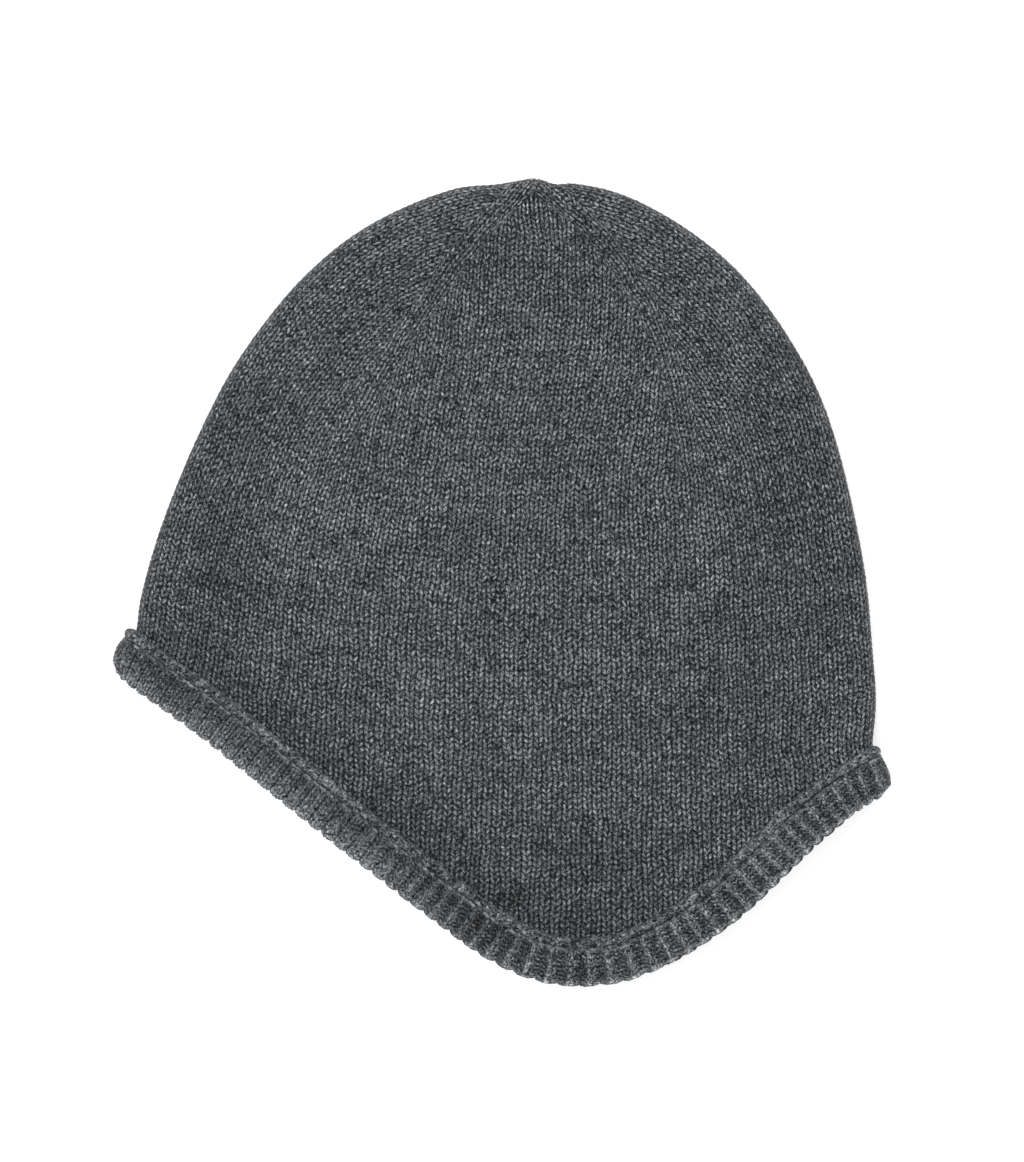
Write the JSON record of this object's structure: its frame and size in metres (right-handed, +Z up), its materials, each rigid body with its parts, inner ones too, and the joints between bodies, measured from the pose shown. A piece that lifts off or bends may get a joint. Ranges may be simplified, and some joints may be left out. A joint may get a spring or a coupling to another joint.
{
  "type": "earflap beanie",
  "caption": "Plain-knit beanie lying on its side: a hollow crown with a gathered tip, and a mouth that dips to deep ear flaps, edged by a rolled welt and a ribbed band.",
  "frame": {"origin": "on the floor under the middle of the outline, with the hat lying on its side", "axes": "+Z up from the floor, +Y towards the tip of the crown, -X towards the forehead and +X towards the nape"},
  "size_m": [0.2202, 0.227, 0.0214],
  "materials": {
    "crown_knit": "matt grey melange plain knit",
    "welt_knit": "matt grey melange rolled edge",
    "rib_knit": "matt grey melange rib"
  },
  "bodies": {
    "root": {"crown": "crown_knit", "linking_welt": "welt_knit", "rib_trim": "rib_knit"}
  },
  "joints": []
}
